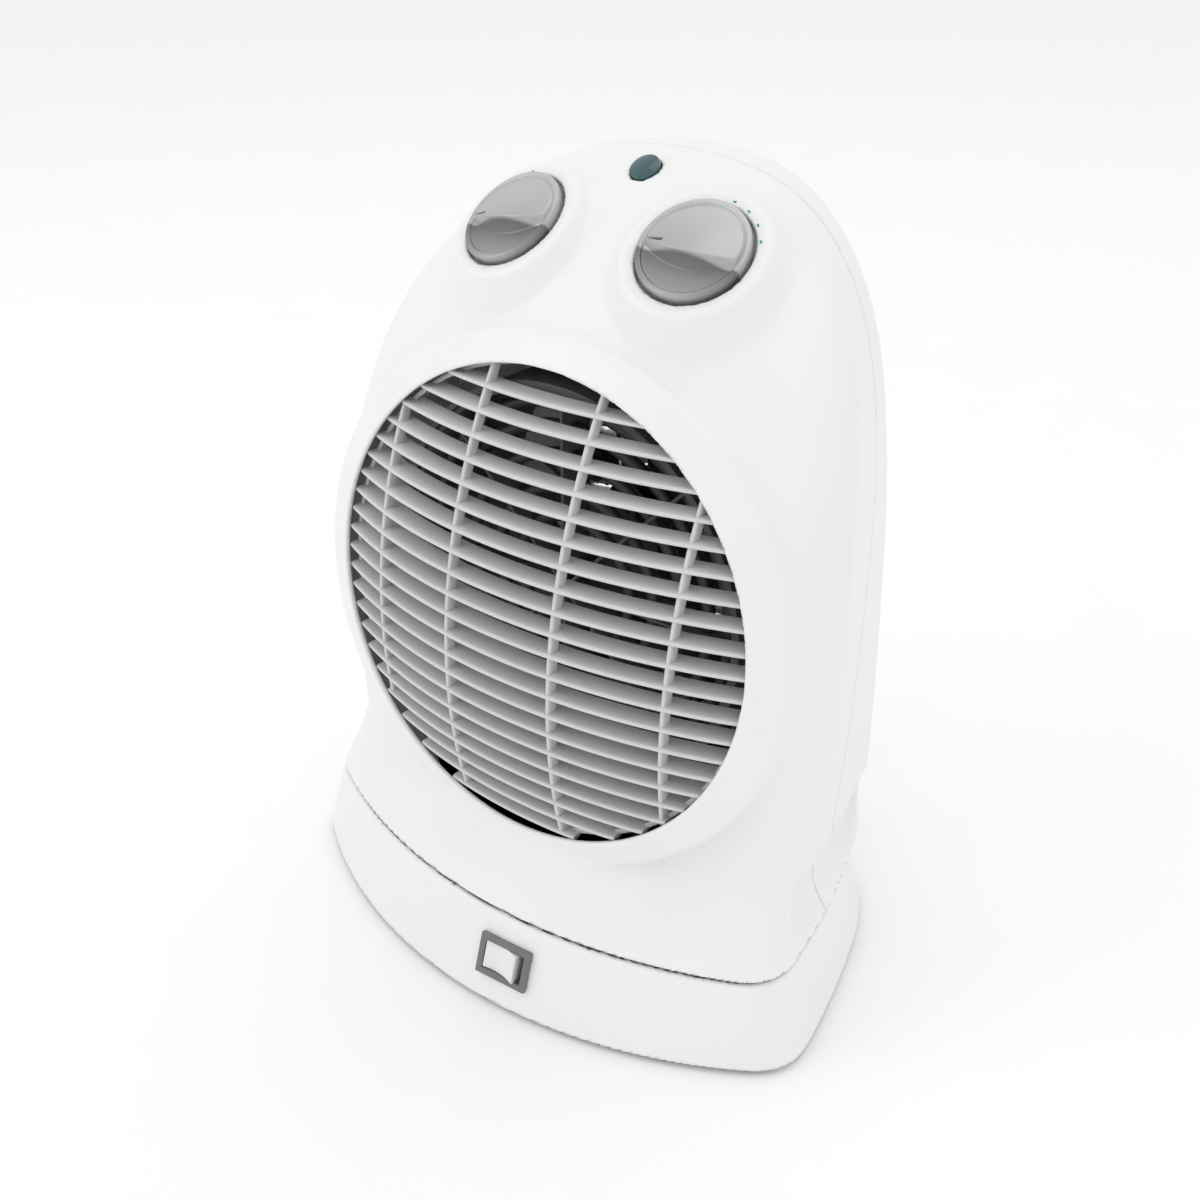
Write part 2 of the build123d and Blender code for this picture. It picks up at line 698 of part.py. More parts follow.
def make_housing_screws():
    """Screws from the back into the front posts, and from below into the side posts."""
    screws = []
    for x, z in post_spots():
        seat = parting_y(z) + SCREW_SEAT_Y
        head = pillar(SCREW_HEAD_R, seat, seat + 2, x, z)
        shank = pillar(SCREW_R, parting_y(z) - 16, seat, x, z)
        screws.append(head + shank)
    save("cover_screws", *screws)
    lows = [screw_z(x, y, HOUSING_BOTTOM, 47) for x, y in FLOOR_SCREW_SPOTS]
    save("floor_screws", *lows)


def make_grille():
    """The round outlet grille: curved louvres, four slim ribs, a rim and a hidden flange."""
    skin = dome(LOUVRE_FRONT) - dome(LOUVRE_BACK)
    within = oval_prism(OPENING_HALF_W - SKIN_GAP, OPENING_HALF_H - SKIN_GAP, -90, -5)
    inner = oval_prism(OPENING_HALF_W - GRILLE_RIM, OPENING_HALF_H - GRILLE_RIM, -100, 0)
    rim = (skin & within) - inner
    slats = []
    for k in range(LOUVRE_COUNT):
        z = LOUVRE_TOP_Z - k * LOUVRE_PITCH
        slats.append(block(-100, 100, -90, 0, z - LOUVRE_THICK, z))
    inside = skin & oval_prism(OPENING_HALF_W - 1, OPENING_HALF_H - 1, -90, -5)
    grille = rim
    for slat in slats:
        grille = grille + (inside & slat)
    web = dome(LOUVRE_FRONT - 1.5) - dome(LOUVRE_BACK)
    web = web & oval_prism(OPENING_HALF_W - 1, OPENING_HALF_H - 1, -90, -5)
    for x in RIB_X:
        grille = grille + (web & block(x - RIB_THICK / 2, x + RIB_THICK / 2, -90, 0, 40, 240))
    flange = dome(-SKIN_GAP) - dome(-2.3)
    hole = oval_prism(OPENING_HALF_W - GRILLE_RIM, OPENING_HALF_H - GRILLE_RIM, -100, 0)
    flange = (flange & oval_prism(FLANGE_HALF_W, FLANGE_HALF_H, -90, -5)) - hole
    save("front_grille", grille + flange)


# ---------------------------------------------------------------- controls
def make_knobs():
    """Both knobs: a rimmed disc, a grip across it and a stem into the switch below."""
    for name, side in (("function_knob", -1), ("thermostat_knob", 1)):
        disc = rod(KNOB_R, KNOB_LOW, KNOB_RIM_TOP)
        crown = rod(KNOB_R - 1.5, KNOB_RIM_TOP - 0.5, KNOB_GRIP_TOP)
        scoops = []
        for way in (-1, 1):
            scoop = Pos(0, way * 15.5, 15.0) * Rot(0, 90, 0) * Cylinder(13.0, 60)
            scoops.append(scoop)
            scoops.append(slab(60, 20, 1.9, 30, 0, way * 25.5))
        knob = disc + (crown - fuse(scoops))
        knob = knob + rod(KNOB_STEM_R, -16, KNOB_LOW + 0.5)
        save(name, on(knob_plane(side), knob))


def make_controls():
    """The switch and thermostat under the knobs, the lamp lens and its holder."""
    top = -RECESS_DEPTH - WALL
    for name, side, size in (("rotary_switch", -1, 24), ("thermostat", 1, 27)):
        body = slab(size, size - 3, top - 15, top - 0.02)
        body = body - rod(KNOB_STEM_R + RUNNING, top - 12, 0)
        for x in (-size / 4, 0, size / 4):
            body = body + slab(4.8, 0.8, top - 21, top - 14, x, 0)
        save(name, on(knob_plane(side), body))
    lens = rod(LAMP_R, -7.0, 0.15)
    lens = lens + (Pos(0, 0, 0.9 - LAMP_DOME_R) * Sphere(LAMP_DOME_R) & rod(LAMP_R, 0, 3))
    save("indicator_lens", on(lamp_plane(), lens))
    holder = rod(LAMP_R + 1.5, -17, -6.5) - rod(LAMP_R - 1.2, -15, 0)
    holder = holder - rod(LAMP_R + FIT, -7.05, 0)
    save("lamp_holder", on(lamp_plane(), holder))


# ---------------------------------------------------------------- air path
def make_shroud():
    """The duct round the heater and fan, with ears that meet the screw posts."""
    duct = cylinder_y(SHROUD_R + SHROUD_WALL, SHROUD_FRONT_Y, SHROUD_BACK_Y, 0, OPENING_Z)
    duct = duct - cylinder_y(SHROUD_R, -40, 60, 0, OPENING_Z)
    foot = block(-30, 30, -12, 30, FLOOR_TOP, OPENING_Z - SHROUD_R / 2)
    foot = foot - block(-27, 27, -20, 40, FLOOR_TOP + 3, OPENING_Z)
    foot = foot - cylinder_z(HUB_R + 3, 30, 60)
    legs = foot - cylinder_y(SHROUD_R + 1, -40, 60, 0, OPENING_Z)
    save("heater_shroud", duct + legs)


def make_heater():
    """Mica cross frame in a ring, with coiled wire drawn as flat rings of rod."""
    ring = cylinder_y(SHROUD_R - FIT, HEATER_FRONT_Y, HEATER_BACK_Y, 0, OPENING_Z)
    ring = ring - cylinder_y(SHROUD_R - 2, -40, 20, 0, OPENING_Z)
    bars = []
    for angle in (0, 45, 90, 135):
        bar = Box(2 * SHROUD_R - 3, HEATER_BACK_Y - HEATER_FRONT_Y - 2, 1.0)
        place = Pos(0, (HEATER_FRONT_Y + HEATER_BACK_Y) / 2, OPENING_Z)
        bars.append(place * Rot(0, angle, 0) * bar)
    frame = fuse([ring] + bars)
    for radius in COIL_RADII:
        frame = frame - coil_ring(radius, COIL_WIRE_R + 0.3)
    save("heater_frame", frame)
    save("heater_coils", *[coil_ring(radius, COIL_WIRE_R) for radius in COIL_RADII])
    y = (HEATER_FRONT_Y + HEATER_BACK_Y) / 2
    cutout = cylinder_y(6, HEATER_BACK_Y + 1.0, HEATER_BACK_Y + 8.0, 0, OPENING_Z + 40)
    low, high = OPENING_Z + 37, OPENING_Z + 43
    cutout = cutout + block(-9, 9, HEATER_BACK_Y - 1, HEATER_BACK_Y + 1.5, low, high)
    cutout = cutout - block(-0.6, 0.6, y - 20, HEATER_BACK_Y - 0.9, OPENING_Z, OPENING_Z + 60)
    save("thermal_cutout", cutout)


def coil_ring(radius, wire):
    """One turn of the heating coil, as a torus across the air path."""
    y = (HEATER_FRONT_Y + HEATER_BACK_Y) / 2 - 1
    return Pos(0, y, OPENING_Z) * Rot(90, 0, 0) * Torus(radius, wire)


def make_fan():
    """The fan wheel with swept blades, and the motor shaft that carries it."""
    hub = cylinder_y(FAN_HUB_R, FAN_FRONT_Y, FAN_BACK_Y, 0, OPENING_Z)
    wheel = hub
    middle = (FAN_FRONT_Y + FAN_BACK_Y) / 2
    for k in range(FAN_BLADES):
        blade = Pos(FAN_R / 2 + 3, 0, 0) * Rot(38, 0, 0) * Box(FAN_R - 6, 20, 1.6)
        turned = Pos(0, middle, OPENING_Z) * Rot(0, 360 * k / FAN_BLADES, 0) * blade
        wheel = wheel + turned
    sweep = cylinder_y(FAN_R, FAN_FRONT_Y, FAN_BACK_Y, 0, OPENING_Z)
    wheel = wheel & sweep
    wheel = wheel - cylinder_y(SHAFT_R + 0.02, FAN_FRONT_Y + 3, 60, 0, OPENING_Z)
    save("fan_blade", wheel)
    save("motor_shaft", cylinder_y(SHAFT_R, FAN_FRONT_Y + 3.2, MOTOR_BACK_Y - 6, 0, OPENING_Z))


def make_fan_motor():
    """The motor behind the fan, its bracket with four arms, and the bracket screws."""
    can = cylinder_y(FAN_MOTOR_R, MOTOR_FRONT_Y, MOTOR_BACK_Y, 0, OPENING_Z)
    can = can - cylinder_y(SHAFT_R + RUNNING, 0, MOTOR_BACK_Y - 5, 0, OPENING_Z)
    spots = []
    for angle in (45, 135, 225, 315):
        turn = math.radians(angle)
        spots.append((17 * math.cos(turn), OPENING_Z + 17 * math.sin(turn)))
    for x, z in spots:
        can = can - cylinder_y(SCREW_R + FIT, 30, 46, x, z)
    save("fan_motor", can)
    ring = cylinder_y(25, MOTOR_FRONT_Y - 2.5, MOTOR_FRONT_Y, 0, OPENING_Z)
    bracket = ring
    for angle in (0, 90):
        arm = Box(2 * SHROUD_R - 0.2, 2.5, 10)
        bracket = bracket + Pos(0, MOTOR_FRONT_Y - 1.25, OPENING_Z) * Rot(0, angle, 0) * arm
    bracket = bracket & cylinder_y(SHROUD_R - FIT, 0, 60, 0, OPENING_Z)
    bracket = bracket - cylinder_y(SHAFT_R + 2, 0, 60, 0, OPENING_Z)
    for x, z in spots:
        bracket = bracket - cylinder_y(SCREW_R + FIT, 0, 60, x, z)
    save("motor_bracket", bracket)
    screws = []
    for x, z in spots:
        head = cylinder_y(SCREW_HEAD_R, MOTOR_FRONT_Y - 4, MOTOR_FRONT_Y - 2.5, x, z)
        screws.append(head + cylinder_y(SCREW_R, MOTOR_FRONT_Y - 2.5, 45, x, z))
    save("bracket_screws", *screws)


def make_tilt_switch():
    """The box on the floor that cuts the power when the heater falls over."""
    box = block(-66, -44, 18, 34, FLOOR_TOP, FLOOR_TOP + 22)
    for x in (-61, -49):
        box = box + block(x - 0.4, x + 0.4, 23, 29, FLOOR_TOP + 20, FLOOR_TOP + 29)
    save("tilt_switch", box)


def build_all():
    """Every node, one step file each."""
    os.makedirs("parts", exist_ok=True)
    make_base_shell()
    make_base_plate()
    make_feet()
    make_switch()
    make_cord_gland()
    make_swing_drive()
    make_turntable()
    make_housing_floor()
    make_housing_screws()
    make_grille()
    make_knobs()
    make_controls()
    make_shroud()
    make_heater()
    make_fan()
    make_fan_motor()
    make_tilt_switch()
    limit = post_limit()
    front, rear = shell_pair()
    make_front_cover(limit, front)
    make_rear_cover(limit, rear)


build_all()
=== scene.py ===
import math

import bmesh
import bpy
import numpy as np
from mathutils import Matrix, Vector


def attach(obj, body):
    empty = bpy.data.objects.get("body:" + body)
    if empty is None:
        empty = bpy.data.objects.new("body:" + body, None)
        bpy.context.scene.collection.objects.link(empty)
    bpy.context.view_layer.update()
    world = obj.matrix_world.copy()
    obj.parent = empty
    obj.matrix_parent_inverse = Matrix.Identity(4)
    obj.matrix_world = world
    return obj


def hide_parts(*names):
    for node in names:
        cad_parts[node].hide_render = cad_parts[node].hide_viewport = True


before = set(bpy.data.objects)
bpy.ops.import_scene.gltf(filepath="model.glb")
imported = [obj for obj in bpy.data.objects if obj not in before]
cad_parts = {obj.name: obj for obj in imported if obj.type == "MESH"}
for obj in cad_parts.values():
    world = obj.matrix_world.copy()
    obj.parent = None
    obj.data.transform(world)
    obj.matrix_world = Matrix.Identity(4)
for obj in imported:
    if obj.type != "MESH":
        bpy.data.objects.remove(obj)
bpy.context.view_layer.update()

# Shapes below are worked out in millimetres in the row frame: +Z up, -Y front.
MM = 0.001
SHELL_CELL = 1.0
BASE_CELL = 1.2
KNOB_CELL = 0.4

# ---------------------------------------------------------------- sizes shared with the CAD
WALL = 2.5
BASE_BOTTOM, BASE_TOP = 2.0, 33.0
DECK_LOW, DECK_TOP = 26.5, 29.0
HOUSING_BOTTOM = 34.2
BODY_TOP = 281.0
BODY_HALF_W, BODY_FOOT_TUCK = 100.0, 3.0
BODY_ARCH_START, BODY_ARCH_SPARE = 130.0, 0.4
BODY_ARCH_ACROSS, BODY_ARCH_UP = 2.6, 3.6
OPENING_Z, OPENING_W, OPENING_H = 139.5, 86.0, 80.0
DRUM_W, DRUM_H = 99.5, 90.0
DOME_Y, DOME_Z, DOME_PLAN_R, DOME_SIDE_R = -58.5, 112.0, 225.0, 200.0
RING_LIP = 3.2
DRUM_BACK_Y = -5.0
PARTING_SLOPE = 0.155
KNOB_X, KNOB_Y, KNOB_Z, KNOB_SPLAY, KNOB_SLOPE = 35.4, -1.0, 255.1, 0.177, 1.2
KNOB_R, KNOB_GAP = 17.8, 0.9
KNOB_TURN = {-1: 12.0, 1: -7.0}
KNOB_SEAT_W, KNOB_STEM_R = -3.5, 3.0
COLLAR_R, COLLAR_FLARE, COLLAR_DEPTH = 23.2, 0.85, 14.0
COLLAR_BORE_R, COLLAR_BORE_DEPTH = 20.5, 12.0
LAMP_Y, LAMP_Z, LAMP_R, LAMP_SLOPE = 21.8, 272.0, 5.1, 1.3
POST_X, POST_RISE, POST_R, POST_BORE_R, SCREW_HOLE_R = 66.0, 68.0, 5.0, 3.6, 1.6
SLOT_PITCH, SLOT_HALF_H, SLOT_FIELD_R = 6.4, 1.4, 56.0
SLOT_BAR_X, SLOT_BAR_HALF_W = 18.0, 1.5
GRIP_Z, GRIP_HALF_W, GRIP_HALF_H = 233.0, 42.0, 11.0
PARTING_GAP = 0.12
SWITCH_X, SWITCH_Z, SWITCH_TURN = 16.5, 18.5, 0.087
GLAND_X, GLAND_Z, GLAND_R = 52.0, 14.0, 5.7

# Footprints as arcs through a corner, a side point and a rear point: foot, rim and skirt top.
FOOT = dict(corner=(115, -43), front=-82.5, side=(107, 3), rear=(91, 56), back=82.5)
RIM = dict(corner=(105.5, -42), front=-71, side=(100, 0), rear=(84, 51), back=76)
SKIRT = dict(corner=(91, -31), front=-47, side=(96, 0), rear=(76, 48), back=70)
SKIRT_TOP = 62.0
HUB_BORE_R, CRANK_BORE_Y, CRANK_BORE_R = 13.1, 42.0, 4.0
SWITCH_CUT_HALF_W, SWITCH_CUT_HALF_H = 9.4, 6.5


# ---------------------------------------------------------------- fields: small helpers
def smin(a, b, k):
    """The smaller of two fields, rounded where they meet over a width k."""
    h = np.clip(0.5 + 0.5 * (b - a) / k, 0, 1)
    return b + (a - b) * h - k * h * (1 - h)


def smax(a, b, k):
    """The larger of two fields, rounded where they meet over a width k."""
    return -smin(-a, -b, k)


def circle_through(p, q, r):
    """Centre and radius of the circle through three points."""
    ax, ay = p
    bx, by = q
    cx, cy = r
    d = 2 * (ax * (by - cy) + bx * (cy - ay) + cx * (ay - by))
    a2, b2, c2 = ax * ax + ay * ay, bx * bx + by * by, cx * cx + cy * cy
    ux = (a2 * (by - cy) + b2 * (cy - ay) + c2 * (ay - by)) / d
    uy = (a2 * (cx - bx) + b2 * (ax - cx) + c2 * (bx - ax)) / d
    return ux, uy, math.hypot(ax - ux, ay - uy)


def outline_arcs(outline):
    """The three arcs of a footprint: front, right and back."""
    cx, cy = outline["corner"]
    rx, ry = outline["rear"]
    front = circle_through((-cx, cy), (0, outline["front"]), (cx, cy))
    side = circle_through((cx, cy), outline["side"], (rx, ry))
    back = circle_through((rx, ry), (0, outline["back"]), (-rx, ry))
    return front, side, back


def footprint_field(x, y, low, high, t):
    """Distance outside a footprint that changes from low to high as t goes from 0 to 1."""
    parts = []
    ax = np.abs(x)
    for (x0, y0, r0), (x1, y1, r1) in zip(outline_arcs(low), outline_arcs(high)):
        xc = x0 + (x1 - x0) * t
        yc = y0 + (y1 - y0) * t
        rc = r0 + (r1 - r0) * t
        parts.append(np.hypot(ax - xc, y - yc) - rc)
    corner = smax(parts[0], parts[1], 12)
    return smax(corner, parts[2], 18)


def dome_field(x, y, z, lip):
    """Distance in front of the domed face, moved forward by lip."""
    ring = DOME_PLAN_R - DOME_SIDE_R
    axis_y = DOME_Y + DOME_PLAN_R
    radius = np.hypot(x, y - axis_y) - ring
    return np.hypot(radius, z - DOME_Z) - (DOME_SIDE_R + lip)


def oval_field(x, z, half_w, half_h):
    """Approximate distance outside an ellipse round the opening's centre."""
    u = x / half_w
    v = (z - OPENING_Z) / half_h
    q = np.hypot(u, v)
    slope = np.hypot(u / half_w, v / half_h) / np.maximum(q, 1e-6)
    return (q - 1) / np.maximum(slope, 1e-6)


def local(x, y, z, origin, normal, right):
    """Coordinates along right, up the face and out of the face at origin."""
    n = np.array(normal, float)
    n /= np.linalg.norm(n)
    r = np.array(right, float)
    r -= n * (r @ n)
    r /= np.linalg.norm(r)
    u = np.cross(n, r)
    dx, dy, dz = x - origin[0], y - origin[1], z - origin[2]
    return (
        dx * r[0] + dy * r[1] + dz * r[2],
        dx * u[0] + dy * u[1] + dz * u[2],
        dx * n[0] + dy * n[1] + dz * n[2],
    )


def knob_local(x, y, z, side):
    """Coordinates in one collar's plane."""
    splay = side * KNOB_SPLAY
    return local(
        x, y, z, (side * KNOB_X, KNOB_Y, KNOB_Z), (splay, -1, KNOB_SLOPE), (1, splay, 0)
    )


def lamp_local(x, y, z):
    """Coordinates in the lamp's plane."""
    return local(x, y, z, (0, LAMP_Y, LAMP_Z), (0, -1, LAMP_SLOPE), (1, 0, 0))


def rod_field(u, v, w, radius, low, high, k=0.8):
    """A rod along w between two heights."""
    return smax(np.hypot(u, v) - radius, np.maximum(low - w, w - high), k)


# ---------------------------------------------------------------- the housing's outside
def arch_field(x, z):
    """Front view of the body: straight sides that close in a broad arch."""
    across, up, start = BODY_ARCH_ACROSS, BODY_ARCH_UP, BODY_ARCH_START
    rise = np.clip((z - start) / (BODY_TOP + BODY_ARCH_SPARE - start), 0, 1.3)
    low = np.clip((start - z) / (start - HOUSING_BOTTOM), 0, 1)
    half = BODY_HALF_W - BODY_FOOT_TUCK * low**2
    ax = np.abs(x) / half
    q = (ax**across + rise**up) ** (1 / across)
    gx = ax ** (across - 1) / half
    gz = up / across * rise ** (up - 1) / (BODY_TOP - start)
    slope = np.hypot(gx, gz) / np.maximum(q, 0.3) ** (across - 1)
    return (q - 1) / np.maximum(slope, 0.004)


def body_field(x, y, z):
    """The rounded block behind the round front: it narrows behind y = -6, less so low down."""
    ax = np.abs(x)
    behind = y + 6.0
    behind = 0.5 * (behind + np.hypot(behind, 3.0))
    lean = 0.33 - 0.0011 * np.clip(200.0 - z, 0, 140)
    arch = arch_field(ax + lean * behind - 0.3, z)
    panel = dome_field(x, y, np.maximum(z, DOME_Z), 0.0)
    chest = -46.0 - y + x * x / 900.0
    front = smax(panel, chest, 6)
    back_flat = y - 74.0 + x * x / 420.0 + np.clip(z - 150, 0, None) ** 2 / 1500.0
    top_back = np.hypot(y - 36.0, z - 227.0) - 57.0
    above = np.clip((z - 227) / 20, 0, 1)
    back = smax(back_flat, top_back * above - 30 * (1 - above), 10)
    shape = smax(arch, front, 13)
    return smax(shape, back, 16)


def housing_outside(x, y, z):
    """The housing without its hollow, its holes and the collars."""
    body = body_field(x, y, z)
    dome = dome_field(x, y, z, RING_LIP)
    drum = smax(oval_field(x, z, DRUM_W, DRUM_H), dome, 2.4)
    drum = np.maximum(drum, y - DRUM_BACK_Y)
    shape = smin(body, drum, 1.6)
    t = np.clip((z - HOUSING_BOTTOM) / (60.0 - HOUSING_BOTTOM), 0, 1.4)
    skirt = footprint_field(x, y, RIM, SKIRT, t)
    skirt = smax(skirt, z - SKIRT_TOP, 6.0)
    shape = smin(shape, skirt, 9.0)
    shape = smax(shape, -scoop_field(x, y, z), 2.5)
    return np.maximum(shape, HOUSING_BOTTOM - z)


def scoop_field(x, y, z):
    """The hollow along each lower side, between the foot's rim and the body."""
    cx, cy, radius = outline_arcs(RIM)[1]
    out = np.hypot(np.abs(x) - cx, y - cy) - radius
    groove = np.hypot(out - 11.0, z - 50.5) - 18.0
    groove = smax(groove, -27.0 - y, 10.0)
    return smax(groove, y - 56.0, 20.0)


def collar_field(x, y, z, side):
    """The raised cone round one knob."""
    u, v, w = knob_local(x, y, z, side)
    r = np.hypot(u, v)
    cone = (r - COLLAR_R + w * COLLAR_FLARE) / math.hypot(1, COLLAR_FLARE)
    return np.maximum(smax(cone, w, 1.5), -COLLAR_DEPTH - w)


def knob_pocket(x, y, z, side):
    """The sunken seat that a knob turns in."""
    u, v, w = knob_local(x, y, z, side)
    return rod_field(u, v, w, KNOB_R + KNOB_GAP, KNOB_SEAT_W, 30, 0.6)


def parting_field(x, y, z):
    """Distance behind the leaning plane where the covers meet."""
    return (y - (z - HOUSING_BOTTOM) * PARTING_SLOPE) / math.hypot(1, PARTING_SLOPE)


def front_cover_field(x, y, z):
    """The front cover as a hollow shell with its openings."""
    outside = housing_outside(x, y, z)
    hollow = outside + WALL
    for side in (-1, 1):
        outside = smin(outside, collar_field(x, y, z, side), 1.8)
    shell = smax(outside, -hollow, 0.8)
    for side in (-1, 1):
        u, v, w = knob_local(x, y, z, side)
        r = np.hypot(u, v)
        floor = rod_field(u, v, w, 22.0, KNOB_SEAT_W - WALL, KNOB_SEAT_W, 0.5)
        collar = smax(collar_field(x, y, z, side), -(r - COLLAR_BORE_R), 0.8)
        collar = np.maximum(collar, -COLLAR_BORE_DEPTH - w)
        shell = smin(shell, np.minimum(floor, collar), 0.5)
        shell = smax(shell, -knob_pocket(x, y, z, side), 0.8)
        shell = smax(shell, -(r - KNOB_STEM_R - 1.0), 0.5)
    u, v, w = lamp_local(x, y, z)
    shell = smax(shell, -(np.hypot(u, v) - LAMP_R - 0.15), 0.6)
    opening = np.maximum(oval_field(x, z, OPENING_W, OPENING_H), y + 10)
    shell = smax(shell, -opening, 1.4)
    return smax(shell, parting_field(x, y, z) + PARTING_GAP, 0.8)


def rear_cover_field(x, y, z):
    """The rear cover with intake slots, the hand hold and screw seats."""
    outside = housing_outside(x, y, z)
    shell = smax(outside, -(outside + WALL), 0.8)
    for px in (-POST_X, POST_X):
        for pz in (OPENING_Z - POST_RISE, OPENING_Z + POST_RISE):
            r = np.hypot(x - px, z - pz)
            seat = (pz - HOUSING_BOTTOM) * PARTING_SLOPE + 22
            tube = smax(r - POST_R, outside + 1.0, 0.5)
            shell = smin(shell, tube, 0.8)
            shell = smax(shell, -np.maximum(r - POST_BORE_R, seat - y), 0.6)
            shell = smax(shell, -(r - SCREW_HOLE_R), 0.4)
    # The slots slant through the wall, lower on the inside than on the outside.
    rise = z - OPENING_Z - (outside + WALL / 2)
    row = np.round(rise / SLOT_PITCH)
    slot = np.abs(rise - row * SLOT_PITCH) - SLOT_HALF_H
    slot = smax(slot, np.hypot(x, row * SLOT_PITCH) - SLOT_FIELD_R, 1.0)
    slot = np.maximum(slot, SLOT_BAR_HALF_W - np.abs(np.abs(x) - SLOT_BAR_X))
    slot = np.maximum(slot, 45.0 - y)
    shell = smax(shell, -slot, 0.9)
    grip = smax(np.abs(x) - GRIP_HALF_W, np.abs(z - GRIP_Z) - GRIP_HALF_H, 6.0)
    grip = np.maximum(grip, 48.0 - y)
    shell = smax(shell, -grip, 1.6)
    return smax(shell, PARTING_GAP - parting_field(x, y, z), 0.8)


def base_field(x, y, z):
    """The plinth: sloping walls with a soft rim, and a sunken deck."""
    t = (z - BASE_BOTTOM) / (BASE_TOP - BASE_BOTTOM)
    outside = footprint_field(x, y, FOOT, RIM, t)
    solid = smax(outside, z - BASE_TOP, 1.8)
    solid = smax(solid, BASE_BOTTOM - z, 1.2)
    inside = outside + WALL
    under = np.maximum(inside, z - DECK_LOW)
    over = np.maximum(inside, DECK_TOP - z)
    shell = smax(solid, -under, 0.8)
    shell = smax(shell, -over, 0.8)
    shell = smax(shell, -(np.hypot(x, y) - HUB_BORE_R), 0.5)
    shell = smax(shell, -(np.hypot(x, y - CRANK_BORE_Y) - CRANK_BORE_R), 0.5)
    u, v, w = switch_local(x, y, z)
    cut = np.maximum(np.abs(u) - SWITCH_CUT_HALF_W, np.abs(v) - SWITCH_CUT_HALF_H)
    shell = smax(shell, -np.maximum(cut, np.abs(w) - 6), 0.5)
    gland = np.maximum(np.hypot(x - GLAND_X, z - GLAND_Z) - GLAND_R, 55 - y)
    return smax(shell, -gland, 0.5)


def switch_local(x, y, z):
    """Coordinates in the plane of the base's front wall at the switch."""
    rise = BASE_TOP - BASE_BOTTOM
    run = RIM["front"] - FOOT["front"]
    y0 = FOOT["front"] + run * (SWITCH_Z - BASE_BOTTOM) / rise
    y0 += SWITCH_X * SWITCH_TURN / 2
    normal = (SWITCH_TURN * rise, -rise, run)
    return local(x, y, z, (SWITCH_X, y0, SWITCH_Z), normal, (1, SWITCH_TURN, 0))


def knob_field(u, v, w):
    """A low disc with a fin: one side slopes gently up to it, the other is scooped out."""
    r = np.hypot(u, v)
    disc = smax(r - KNOB_R, w - 1.6, 1.0)
    rim = smax(np.abs(r - KNOB_R + 1.0) - 1.0, w - 2.4, 0.8)
    disc = smin(disc, np.maximum(rim, -w), 0.4)
    ridge = 5.6 - 0.010 * u * u
    climb = np.clip((KNOB_R - 1.5 - v) / (KNOB_R + 0.5), 0, 1.2)
    gentle = w - 1.7 - (ridge - 1.7) * climb**1.3
    steep = np.hypot(v + 19.0 - 0.020 * u * u, w - 13.5) - 16.6
    cap = smax(r - (KNOB_R - 2.2), 0.9 * gentle, 0.8)
    cap = smax(cap, -steep, 0.7)
    cap = np.maximum(cap, -w)
    shape = smin(disc, cap, 0.5)
    groove = np.maximum(np.abs(v + 1.2) - 0.5, np.maximum(u + 9.0, w - 9.0))
    shape = smax(shape, -np.maximum(groove, 2.6 - w), 0.3)
    shape = np.maximum(shape, -2.5 - w)
    stem = rod_field(u, v, w, KNOB_STEM_R, -16.0, -2.0, 0.4)
    return np.minimum(shape, stem)


# ---------------------------------------------------------------- surface nets
CORNERS = np.array([(i, j, k) for i in (0, 1) for j in (0, 1) for k in (0, 1)])
EDGES = [
    (a, b)
    for a in range(8)
    for b in range(a + 1, 8)
    if np.abs(CORNERS[a] - CORNERS[b]).sum() == 1
]


def gradient(field, p, step=0.02):
    """Slope of a field at points, by central differences."""
    g = np.empty_like(p)
    for axis in range(3):
        d = np.zeros(3)
        d[axis] = step
        q0, q1 = p - d, p + d
        g[:, axis] = (field(*q1.T) - field(*q0.T)) / (2 * step)
    return g


def sample(field, low, high, cell):
    """The field on a grid, worked out only near the surface."""
    low = np.array(low, float)
    size = np.ceil((np.array(high) - low) / cell).astype(int) + 1
    block = 6
    blocks = np.ceil(size / block).astype(int)
    full = blocks * block
    grid = np.full(full, 1e3, np.float32)
    index = np.stack(np.meshgrid(*[np.arange(n) for n in blocks], indexing="ij"), -1)
    index = index.reshape(-1, 3)
    centre = low + (index * block + (block - 1) / 2) * cell
    reach = block * cell * 1.35 + 2.0
    value = field(*centre.T)
    near = np.abs(value) < reach
    for k, inside in zip(index[~near], value[~near] < 0):
        if inside:
            a = k * block
            grid[a[0] : a[0] + block, a[1] : a[1] + block, a[2] : a[2] + block] = -1e3
    offset = np.stack(np.meshgrid(*[np.arange(block)] * 3, indexing="ij"), -1).reshape(-1, 3)
    chosen = index[near]
    for start in range(0, len(chosen), 600):
        some = chosen[start : start + 600]
        cells = (some[:, None, :] * block + offset[None]).reshape(-1, 3)
        p = low + cells * cell
        grid[cells[:, 0], cells[:, 1], cells[:, 2]] = field(*p.T)
    return grid, low


